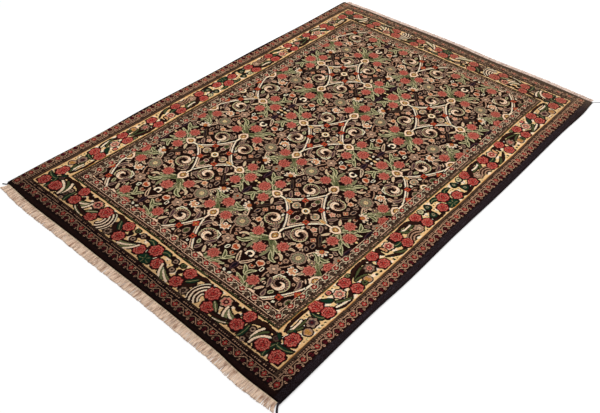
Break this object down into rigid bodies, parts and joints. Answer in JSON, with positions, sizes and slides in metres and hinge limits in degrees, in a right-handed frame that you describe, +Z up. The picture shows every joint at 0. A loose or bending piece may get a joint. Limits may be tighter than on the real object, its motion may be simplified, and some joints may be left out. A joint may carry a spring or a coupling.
{
  "type": "persian rug",
  "caption": "Hand-knotted wool Persian rug with a flower and strapwork lattice field, rose border, overcast sides and fringed ends, lying flat as a floor covering.",
  "frame": {"origin": "on the floor under the centre of the rug's whole box, fringe and corner ends included", "axes": "+X across the rug to its right selvedge, +Y along it to the far fringe, +Z up out of the pile"},
  "size_m": [1.448, 2.1312, 0.011],
  "materials": {
    "pile_wool": "knotted wool pile in many dyed colours, soft sheen",
    "overcast_wool": "dark wool yarn wrapped round the side cords, matte",
    "warp_ends": "undyed twisted warp yarn, matte"
  },
  "bodies": {
    "root": {"rug_body": "pile_wool", "selvedge_left": "overcast_wool", "selvedge_right": "overcast_wool", "fringe_near": "warp_ends", "fringe_far": "warp_ends"}
  },
  "joints": []
}
